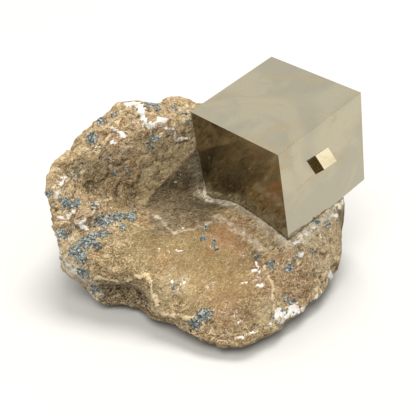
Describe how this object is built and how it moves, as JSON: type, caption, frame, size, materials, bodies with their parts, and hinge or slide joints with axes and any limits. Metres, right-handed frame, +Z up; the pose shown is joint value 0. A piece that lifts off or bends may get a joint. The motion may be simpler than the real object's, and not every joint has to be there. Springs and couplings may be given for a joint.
{
  "type": "pyrite specimen",
  "caption": "Pyrite cube standing in a block of rough tan marl, with a small pyrite crystal grown into one of its side faces.",
  "frame": {"origin": "middle of the bounding box's underside, on the surface that the specimen rests on", "axes": "+Z up; -Y to the front, where the low tongue of rock points and the cube's vertical edge faces; +X to the side where the cube stands"},
  "size_m": [0.0826, 0.0696, 0.0515],
  "materials": {
    "pyrite": "natural crystal faces, mirror bright to satin, pale brassy grey",
    "marl": "matt gritty tan and brown marl, with pale cream crusts",
    "mica_grains": "blue grey shiny mineral grains in clusters on the marl"
  },
  "bodies": {
    "root": {"matrix_rock": "marl", "large_crystal": "pyrite", "small_crystal": "pyrite"}
  },
  "joints": []
}
